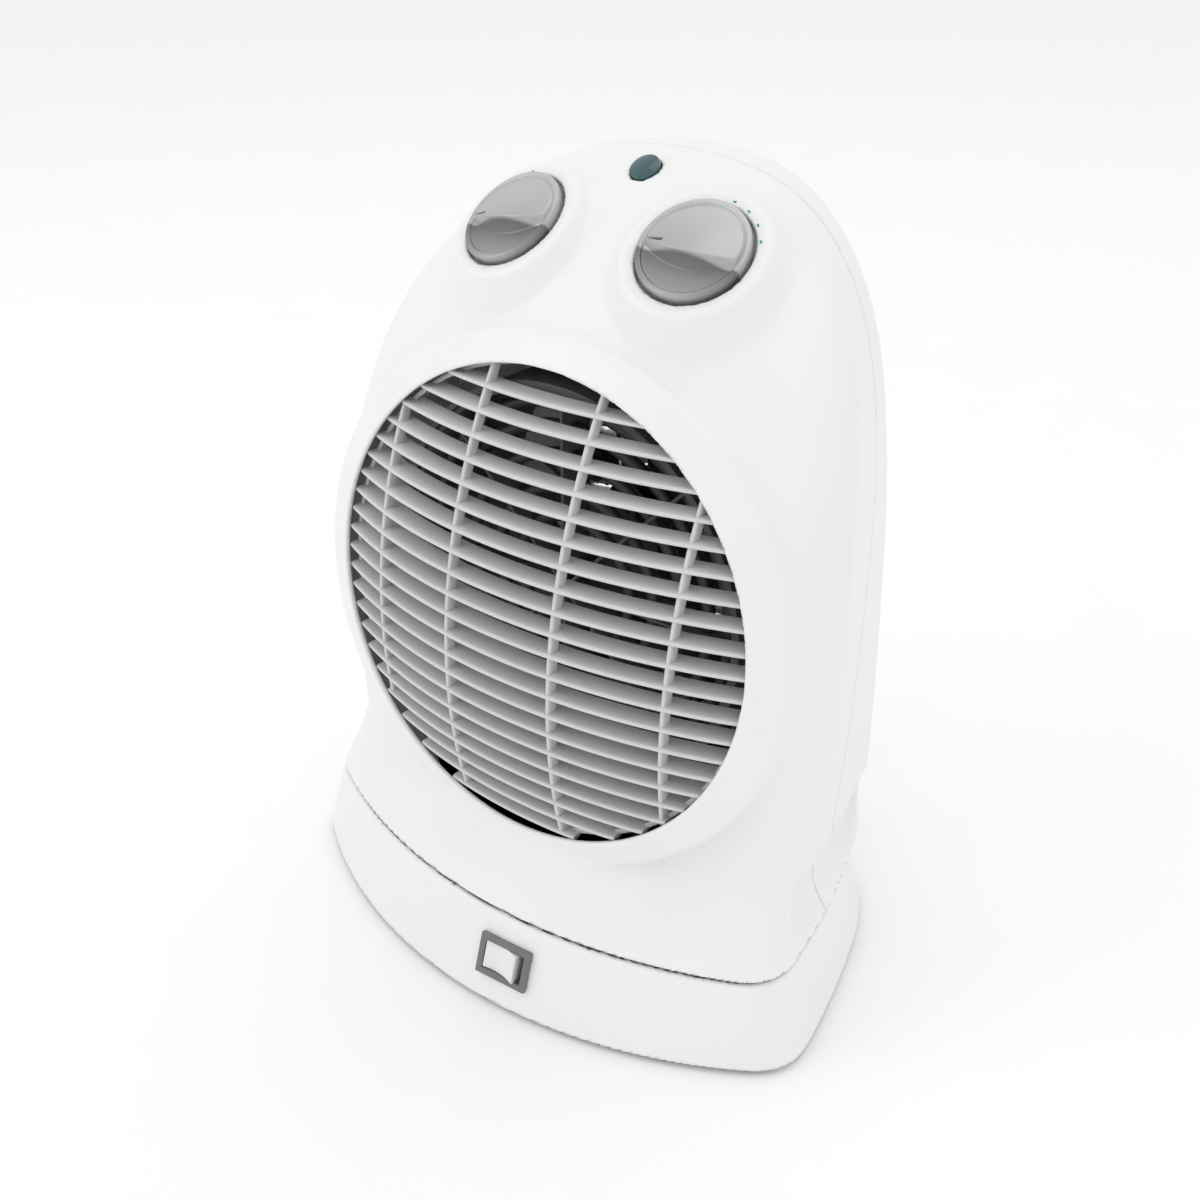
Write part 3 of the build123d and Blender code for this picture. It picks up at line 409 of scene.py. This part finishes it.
def surface(field, low, high, cell):
    """Vertices and quads of a field's zero surface."""
    grid, origin = sample(field, low, high, cell)
    inside = grid < 0
    shape = np.array(grid.shape) - 1
    corner = [
        inside[i : i + shape[0], j : j + shape[1], k : k + shape[2]] for i, j, k in CORNERS
    ]
    total = sum(c.astype(np.int8) for c in corner)
    active = (total > 0) & (total < 8)
    cells = np.argwhere(active)
    number = np.full(shape, -1, np.int64)
    number[active] = np.arange(len(cells))
    values = np.stack(
        [grid[cells[:, 0] + i, cells[:, 1] + j, cells[:, 2] + k] for i, j, k in CORNERS], 1
    )
    points = np.zeros((len(cells), 3))
    count = np.zeros(len(cells))
    for a, b in EDGES:
        fa, fb = values[:, a], values[:, b]
        cross = (fa < 0) != (fb < 0)
        t = np.where(cross, fa / np.where(cross, fa - fb, 1), 0)
        place = CORNERS[a] + t[:, None] * (CORNERS[b] - CORNERS[a])
        points += place * cross[:, None]
        count += cross
    points = origin + (cells + points / count[:, None]) * cell
    for _ in range(4):
        g = gradient(field, points)
        f = field(*points.T)
        step = f / np.maximum((g * g).sum(1), 1e-3)
        step = np.clip(step, -0.5 * cell, 0.5 * cell)
        points -= g * step[:, None]
    quads = []
    for axis in range(3):
        one = np.zeros(3, int)
        one[axis] = 1
        a = inside[tuple(slice(0, n) for n in shape)]
        b = inside[tuple(slice(one[i], shape[i] + one[i]) for i in range(3))]
        at = np.argwhere(a != b)
        u, v = [i for i in range(3) if i != axis]
        keep = (at[:, u] > 0) & (at[:, v] > 0)
        at = at[keep]
        du = np.zeros(3, int)
        dv = np.zeros(3, int)
        du[u] = 1
        dv[v] = 1
        ring = [at, at - du, at - du - dv, at - dv]
        ids = np.stack([number[r[:, 0], r[:, 1], r[:, 2]] for r in ring], 1)
        flip = a[at[:, 0], at[:, 1], at[:, 2]]
        if axis == 1:
            flip = ~flip
        ids[~flip] = ids[~flip][:, ::-1]
        quads.append(ids)
    quads = np.concatenate(quads)
    quads = quads[(quads >= 0).all(1)]
    return points, quads


def make_object(name, points, faces, smooth=True):
    """A mesh object from points in millimetres."""
    mesh = bpy.data.meshes.new(name)
    mesh.vertices.add(len(points))
    mesh.vertices.foreach_set("co", (np.asarray(points, float) * MM).ravel())
    faces = np.asarray(faces)
    mesh.loops.add(faces.size)
    mesh.loops.foreach_set("vertex_index", faces.ravel())
    mesh.polygons.add(len(faces))
    sides = faces.shape[1]
    mesh.polygons.foreach_set("loop_start", np.arange(len(faces)) * sides)
    mesh.update(calc_edges=True)
    mesh.polygons.foreach_set("use_smooth", [smooth] * len(faces))
    mesh.validate()
    obj = bpy.data.objects.new(name, mesh)
    bpy.context.scene.collection.objects.link(obj)
    return obj


def shell_piece(name, field, low, high, cell):
    """An object from a field, with normals taken from the field itself."""
    points, quads = surface(field, low, high, cell)
    obj = make_object(name, points, quads)
    g = gradient(field, points, 0.25)
    g /= np.maximum(np.linalg.norm(g, axis=1), 1e-6)[:, None]
    if len(obj.data.vertices) == len(points):
        obj.data.normals_split_custom_set_from_vertices(g.tolist())
    return obj


# ---------------------------------------------------------------- grille
LOUVRE_TOP, LOUVRE_PITCH, LOUVRE_COUNT = 210.6, 7.3, 21
LOUVRE_THICK, LOUVRE_DEPTH, LOUVRE_FRONT = 1.5, 8.5, 1.0
LOUVRE_DEPTHS = (0.0, 0.15, 0.55, 1.2, 4.0, LOUVRE_DEPTH, LOUVRE_DEPTH, 4.0, 1.2, 0.55, 0.15)
LOUVRE_HEIGHTS = (0.0, 0.6, 0.9, 1.0, 0.8, 0.7, -0.7, -0.8, -1.0, -0.9, -0.6)
LOUVRE_STEPS = 64
LOUVRE_CHORD_DROP, LOUVRE_REACH = 0.65, 0.1
RIBS = (-62.0, -22.5, 22.5, 62.0)
RIB_THICK, RIB_SETBACK, RIB_STEPS = 1.5, 0.9, 48
RIM_STEPS = 144


def dome_y(x, z, lip):
    """Where the domed face is at x and z, moved forward by lip."""
    ring = DOME_PLAN_R - DOME_SIDE_R
    reach = ring + np.sqrt((DOME_SIDE_R + lip) ** 2 - (z - DOME_Z) ** 2)
    return DOME_Y + DOME_PLAN_R - np.sqrt(reach**2 - x**2)


def tube_faces(rows, ring):
    """Quads between rows of rings, with the ring closed."""
    faces = []
    for i in range(rows - 1):
        for j in range(ring):
            k = (j + 1) % ring
            here, after = i * ring, (i + 1) * ring
            faces.append((here + j, here + k, after + k, after + j))
    return faces


def louvre(z):
    """One louvre: a thin blade with a rounded front, following the dome."""
    level = (z - LOUVRE_CHORD_DROP - OPENING_Z) / (OPENING_H + LOUVRE_REACH)
    reach = math.sqrt(1 - level**2) * (OPENING_W + LOUVRE_REACH)
    half = LOUVRE_THICK / 2
    points = []
    for i in range(LOUVRE_STEPS + 1):
        x = -reach + 2 * reach * i / LOUVRE_STEPS
        for depth, height in zip(LOUVRE_DEPTHS, LOUVRE_HEIGHTS):
            zz = z - half + height * half
            points.append((x, float(dome_y(x, z - half, LOUVRE_FRONT)) + depth, zz))
    return points, tube_faces(LOUVRE_STEPS + 1, len(LOUVRE_DEPTHS))


def rib(x):
    """One upright rib just behind the louvres' front edges."""
    reach = math.sqrt(1 - (x / OPENING_W) ** 2) * OPENING_H
    half = RIB_THICK / 2
    depths = [0.0, 0.2, 0.8, 4.2, 4.2, 0.8, 0.2]
    sides = [0.0, 0.7, 1.0, 0.9, -0.9, -1.0, -0.7]
    points = []
    for i in range(RIB_STEPS + 1):
        z = OPENING_Z - reach + 2 * reach * i / RIB_STEPS
        front = float(dome_y(x, z, LOUVRE_FRONT - RIB_SETBACK))
        for depth, side in zip(depths, sides):
            points.append((x + side * half, front + depth, z))
    return points, tube_faces(RIB_STEPS + 1, len(depths))


def rim():
    """The grille's rim: a short oval tube behind the opening's edge."""
    profile = [(0.05, -2.6), (0.05, -8.0), (1.6, -8.0), (1.6, -3.2), (0.8, -2.6)]
    points = []
    for i in range(RIM_STEPS + 1):
        a = 2 * math.pi * i / RIM_STEPS
        for inward, lip in profile:
            x = (OPENING_W - inward) * math.cos(a)
            z = OPENING_Z + (OPENING_H - inward) * math.sin(a)
            points.append((x, float(dome_y(x, z, lip)), z))
    return points, tube_faces(RIM_STEPS + 1, len(profile))


def grille():
    """All the grille's parts in one mesh."""
    points, faces = [], []
    parts = [louvre(LOUVRE_TOP - k * LOUVRE_PITCH) for k in range(LOUVRE_COUNT)]
    parts += [rib(x) for x in RIBS]
    parts.append(rim())
    for part_points, part_faces in parts:
        start = len(points)
        points += part_points
        faces += [tuple(i + start for i in f) for f in part_faces]
    obj = make_object("grille", points, faces)
    ring = len(LOUVRE_DEPTHS)
    # Faces at each louvre's front edge take the white bead colour; the blades behind keep the
    # grille colour, darker by painted shade.
    for face in obj.data.polygons[: LOUVRE_COUNT * LOUVRE_STEPS * ring]:
        if face.index % ring in (0, 1, ring - 2, ring - 1):
            face.material_index = 1
    bm = bmesh.new()
    bm.from_mesh(obj.data)
    bmesh.ops.recalc_face_normals(bm, faces=bm.faces)
    for edge in bm.edges:
        if len(edge.link_faces) == 2 and edge.calc_face_angle() > math.radians(50):
            edge.smooth = False
    bm.to_mesh(obj.data)
    bm.free()
    return obj


# ---------------------------------------------------------------- materials
def nodes_of(material):
    """The node tree and the shader of a fresh material."""
    material.use_nodes = True
    tree = material.node_tree
    return tree, tree.nodes["Principled BSDF"]


def add(tree, kind, **values):
    """A node with its named inputs set."""
    node = tree.nodes.new(kind)
    for key, value in values.items():
        if key in node.inputs:
            node.inputs[key].default_value = value
        else:
            setattr(node, key, value)
    return node


def ramp(tree, source, low, high, c0, c1):
    """A colour ramp between two colours over a range of a factor."""
    node = tree.nodes.new("ShaderNodeValToRGB")
    node.color_ramp.elements[0].position = low
    node.color_ramp.elements[1].position = high
    node.color_ramp.elements[0].color = (*c0, 1)
    node.color_ramp.elements[1].color = (*c1, 1)
    tree.links.new(source, node.inputs[0])
    return node.outputs[0]


def moulded(name, colour, rough=0.35, grain=900.0, bump=0.08, spread=0.04, metallic=0.0):
    """Moulded plastic or plain metal: fine grain, faint mottling, uneven gloss."""
    material = bpy.data.materials.new(name)
    tree, shader = nodes_of(material)
    where = tree.nodes.new("ShaderNodeTexCoord").outputs["Object"]
    broad = add(tree, "ShaderNodeTexNoise", Scale=18.0, Detail=3.0)
    fine = add(tree, "ShaderNodeTexNoise", Scale=grain, Detail=2.0)
    tree.links.new(where, broad.inputs["Vector"])
    tree.links.new(where, fine.inputs["Vector"])
    dark = [c * (1 - spread) for c in colour]
    light = [min(1.0, c * (1 + spread)) for c in colour]
    tone = ramp(tree, broad.outputs[0], 0.3, 0.7, dark, light)
    tree.links.new(tone, shader.inputs["Base Color"])
    shade = ramp(tree, broad.outputs[0], 0.3, 0.7, [rough * 0.88] * 3, [rough * 1.12] * 3)
    tree.links.new(shade, shader.inputs["Roughness"])
    relief = add(tree, "ShaderNodeBump", Strength=bump, Distance=0.0002)
    tree.links.new(fine.outputs[0], relief.inputs["Height"])
    tree.links.new(relief.outputs[0], shader.inputs["Normal"])
    shader.inputs["Metallic"].default_value = metallic
    return material


# Each material's name, colour and the ways in which it differs from plain moulded plastic.
FINISHES = {
    "shell": ("white_abs", (0.84, 0.84, 0.835), dict(rough=0.34, bump=0.05, spread=0.012)),
    # The grille is a darker copy of the beads' white: shade between and behind the louvres
    # painted into its colour.
    "grille": (
        "white_grille",
        (0.64, 0.64, 0.635),
        dict(rough=0.45, grain=1400, bump=0.3, spread=0.03),
    ),
    "bead": ("white_bead", (0.84, 0.84, 0.835), dict(rough=0.36, spread=0.012)),
    "inner": ("inner_white", (0.62, 0.62, 0.61), dict(rough=0.5, spread=0.03)),
    "grey": ("grey_plastic", (0.16, 0.16, 0.16), dict(rough=0.4)),
    "rocker": ("rocker_white", (0.8, 0.8, 0.79), dict(rough=0.3, spread=0.01)),
    "rubber": ("black_rubber", (0.02, 0.02, 0.02), dict(rough=0.75, bump=0.3)),
    "zinc": (
        "zinc_steel",
        (0.5, 0.5, 0.5),
        dict(rough=0.38, grain=500, spread=0.12, metallic=0.9),
    ),
    "steel": (
        "plated_steel",
        (0.35, 0.35, 0.35),
        dict(rough=0.42, grain=700, spread=0.1, metallic=0.85),
    ),
    "black": ("black_nylon", (0.025, 0.025, 0.026), dict(rough=0.5)),
    "nylon": ("pale_nylon", (0.7, 0.69, 0.64), dict(rough=0.45)),
    "cream": ("cream_phenolic", (0.5, 0.46, 0.38), dict(rough=0.5, spread=0.08)),
    "mica": (
        "mica_sheet",
        (0.11, 0.105, 0.098),
        dict(rough=0.55, grain=300, bump=0.3, spread=0.25),
    ),
    "coil": (
        "coil_wire",
        (0.07, 0.067, 0.065),
        dict(rough=0.45, grain=1500, spread=0.2, metallic=0.6),
    ),
    "duct": (
        "duct_sheet",
        (0.13, 0.13, 0.13),
        dict(rough=0.5, grain=500, spread=0.12, metallic=0.4),
    ),
    "fan": ("fan_plastic", (0.045, 0.045, 0.05), dict(rough=0.4)),
    "lens": ("teal_lens", (0.012, 0.075, 0.082), dict(rough=0.12, bump=0.02, spread=0.15)),
    "print": ("teal_print", (0.03, 0.3, 0.31), dict(rough=0.5, bump=0.0)),
}


def make_materials():
    """Every material by key."""
    made = {
        key: moulded(name, colour, **finish) for key, (name, colour, finish) in FINISHES.items()
    }
    shader = made["lens"].node_tree.nodes["Principled BSDF"]
    shader.inputs["Coat Weight"].default_value = 0.6
    # Both knob materials have shade painted into the thumb hollow below the fin.
    made["knob_left"] = knob_silver_painted_shade(-1)
    made["knob_right"] = knob_silver_painted_shade(1)
    return made


def knob_axes(side, turn=0.0):
    """Right, up-the-face and outward directions of one knob, turned by some degrees."""
    splay = side * KNOB_SPLAY
    n = np.array((splay, -1, KNOB_SLOPE))
    n = n / np.linalg.norm(n)
    right = np.array((1.0, splay, 0))
    right = right / np.linalg.norm(right)
    up = np.cross(n, right)
    c, s = math.cos(math.radians(turn)), math.sin(math.radians(turn))
    return c * right + s * up, c * up - s * right, n


# Object coordinates are scaled up by this much, so the reach of the painted shade is in
# twentieths of a metre.
PAINTED_SHADE_SCALE, PAINTED_SHADE_REACH = 20, 0.36


def knob_silver_painted_shade(side):
    """Silver lacquer with painted shade: darker inside the thumb hollow below the fin."""
    material = moulded(
        f"silver_knob_{side}", (0.5, 0.505, 0.51), rough=0.33, grain=2200, bump=0.1, metallic=0.5
    )
    tree = material.node_tree
    where = tree.nodes.new("ShaderNodeTexCoord").outputs["Object"]
    up = knob_axes(side, KNOB_TURN[side])[1]
    middle = float(up @ np.array((side * KNOB_X, KNOB_Y, KNOB_Z))) * MM * PAINTED_SHADE_SCALE
    height = add(tree, "ShaderNodeVectorMath", operation="DOT_PRODUCT")
    tree.links.new(where, height.inputs[0])
    height.inputs[1].default_value = tuple(up * PAINTED_SHADE_SCALE)
    span = add(tree, "ShaderNodeMapRange")
    span.inputs["From Min"].default_value = middle - PAINTED_SHADE_REACH
    span.inputs["From Max"].default_value = middle + PAINTED_SHADE_REACH
    tree.links.new(height.outputs["Value"], span.inputs["Value"])
    tone = tree.nodes.new("ShaderNodeValToRGB")
    stops = tone.color_ramp.elements
    stops[0].position = 0.0
    stops[0].color = (0.42, 0.425, 0.43, 1)
    stops[1].position = 1.0
    stops[1].color = (0.52, 0.525, 0.53, 1)
    # These stops paint shade into the colour: darkest in the thumb hollow just below the fin,
    # lighter above it.
    for position, level in ((0.10, 0.3), (0.22, 0.24), (0.37, 0.15), (0.392, 0.42), (0.6, 0.46)):
        stop = stops.new(position)
        stop.color = (level, level * 1.01, level * 1.015, 1)
    tree.links.new(span.outputs[0], tone.inputs[0])
    shader = tree.nodes["Principled BSDF"]
    tree.links.new(tone.outputs[0], shader.inputs["Base Color"])
    return material


MATERIALS = make_materials()
# The material of each CAD piece that stays, by key.
CAD_FINISH = {
    "grey": ("base_plate", "switch_body", "cord_gland"),
    "inner": ("housing_floor", "turntable_hub"),
    "rubber": ("rubber_feet",),
    "zinc": (
        "base_screws",
        "cover_screws",
        "floor_screws",
        "bracket_screws",
        "swing_motor_screws",
        "retaining_washer",
    ),
    "rocker": ("switch_rocker",),
    "steel": ("swing_motor", "fan_motor", "motor_shaft"),
    "black": (
        "crank_arm",
        "pivot_bush",
        "rotary_switch",
        "lamp_holder",
        "thermal_cutout",
        "tilt_switch",
    ),
    "nylon": ("glide_pads",),
    "cream": ("thermostat",),
    "lens": ("indicator_lens",),
    "duct": ("heater_shroud", "motor_bracket"),
    "mica": ("heater_frame",),
    "coil": ("heater_coils",),
    "fan": ("fan_blade",),
    "shell": ("grip_cup",),
}


def paint(obj, key):
    """Gives an object one material in every slot."""
    obj.data.materials.clear()
    obj.data.materials.append(MATERIALS[key])


# ---------------------------------------------------------------- pieces
def place(obj, key, body, slot_name, *nodes):
    """Finishes a piece: material, body and the CAD nodes that it stands for; slot_name is not
    used.
    """
    paint(obj, key)
    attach(obj, body)
    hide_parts(*nodes)


def knob_piece(name, side):
    """One knob, built in its own plane and then placed."""
    points, quads = surface(knob_field, (-19, -19, -17), (19, 19, 10), KNOB_CELL)
    g = gradient(knob_field, points, 0.1)
    g /= np.maximum(np.linalg.norm(g, axis=1), 1e-6)[:, None]
    axes = np.stack(knob_axes(side, KNOB_TURN[side]))
    points = points @ axes + np.array((side * KNOB_X, KNOB_Y, KNOB_Z))
    obj = make_object(name, points, quads)
    if len(obj.data.vertices) == len(points):
        obj.data.normals_split_custom_set_from_vertices((g @ axes).tolist())
    return obj


MARK_COUNT, MARK_STEP = 4, 18
MARK_FIRST = {-1: 112, 1: 18}
MARK_CORNERS = ((-0.6, 19.7), (0.6, 19.7), (0.6, 21.6), (-0.6, 21.6))


def dial_marks(name, side):
    """A few short printed ticks on the flat top of one collar."""
    right, up, out = knob_axes(side)
    centre = np.array((side * KNOB_X, KNOB_Y, KNOB_Z))
    points, faces = [], []
    for k in range(MARK_COUNT):
        angle = math.radians(MARK_FIRST[side] + MARK_STEP * k)
        c, s = math.cos(angle), math.sin(angle)
        for across, reach in MARK_CORNERS:
            u = c * reach - s * across
            v = s * reach + c * across
            points.append(centre + right * u + up * v + out * 0.04)
        faces.append([4 * k, 4 * k + 1, 4 * k + 2, 4 * k + 3])
    return make_object(name, points, faces, smooth=False)


def build_pieces():
    """Replaces the visible shells, and paints the CAD nodes that stay."""
    low, high = (-110, -90, 28), (110, 90, 288)
    front = shell_piece("front_cover_shell", front_cover_field, low, high, SHELL_CELL)
    place(front, "shell", "housing", "white_shell", "front_cover")
    rear = shell_piece("rear_cover_shell", rear_cover_field, low, high, SHELL_CELL)
    place(rear, "shell", "housing", "white_shell", "rear_cover")
    base = shell_piece("base_plinth", base_field, (-122, -90, -4), (122, 90, 38), BASE_CELL)
    place(base, "shell", "base", "white_shell", "base_shell")
    outlet = grille()
    # The grille's colour has shade painted in; the beads at the louvres' front edges keep the
    # white.
    place(outlet, "grille", "housing", "white_grille", "front_grille")
    outlet.data.materials.append(MATERIALS["bead"])
    for name, side in (("function_knob", -1), ("thermostat_knob", 1)):
        knob = knob_piece(name + "_cap", side)
        key = "knob_left" if side < 0 else "knob_right"
        place(knob, key, name + "_body", "silver_knob", name)
        marks = dial_marks(name + "_marks", side)
        paint(marks, "print")
        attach(marks, "housing")
    for key, nodes in CAD_FINISH.items():
        for node in nodes:
            paint(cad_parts[node], key)


# ---------------------------------------------------------------- stage
ROOM_LIGHT = 0.93
LIGHT_TARGET = (0, 0, 0.15)
FLOOR_HALF_M = 6.0
CAMERA_PLACE = (0.2500, -0.3176, 0.3484)
CAMERA_TARGET = (-0.0075, 0.0086, 0.1189)
CAMERA_SENSOR_MM, CAMERA_LENS_MM = 36.0, 38.54


def aim(obj, place_m, target_m):
    """Puts a light or camera at a place, facing a point."""
    obj.location = place_m
    way = Vector(target_m) - Vector(obj.location)
    obj.rotation_euler = way.to_track_quat("-Z", "Y").to_euler()


def area_light(name, place_m, size, power):
    """A square soft light aimed at the middle of the heater."""
    data = bpy.data.lights.new(name, "AREA")
    data.shape = "SQUARE"
    data.size = size
    data.energy = power
    obj = bpy.data.objects.new(name, data)
    bpy.context.scene.collection.objects.link(obj)
    aim(obj, place_m, LIGHT_TARGET)


def build_stage():
    """Floor, lights, world and camera."""
    mesh = bpy.data.meshes.new("floor")
    s = FLOOR_HALF_M
    mesh.from_pydata([(-s, -s, 0), (s, -s, 0), (s, s, 0), (-s, s, 0)], [], [(0, 1, 2, 3)])
    floor = bpy.data.objects.new("floor", mesh)
    bpy.context.scene.collection.objects.link(floor)
    material = moulded("pale_floor", (0.96, 0.96, 0.96), rough=0.6, bump=0.0, spread=0.005)
    mesh.materials.append(material)
    world = bpy.data.worlds.new("soft_room")
    bpy.context.scene.world = world
    world.use_nodes = True
    background = world.node_tree.nodes["Background"]
    background.inputs[0].default_value = (1, 1, 1, 1)
    background.inputs[1].default_value = ROOM_LIGHT
    area_light("key", (-0.9, -1.0, 1.1), 0.8, 2.4)
    area_light("top", (0.1, 0.3, 2.6), 2.0, 7.0)
    area_light("fill", (1.4, -0.9, 0.7), 1.2, 0.5)
    data = bpy.data.cameras.new("camera")
    data.sensor_width = CAMERA_SENSOR_MM
    data.lens = CAMERA_LENS_MM
    camera = bpy.data.objects.new("camera", data)
    bpy.context.scene.collection.objects.link(camera)
    aim(camera, CAMERA_PLACE, CAMERA_TARGET)
    bpy.context.scene.camera = camera
    bpy.context.scene.view_settings.view_transform = "Standard"


build_pieces()
build_stage()
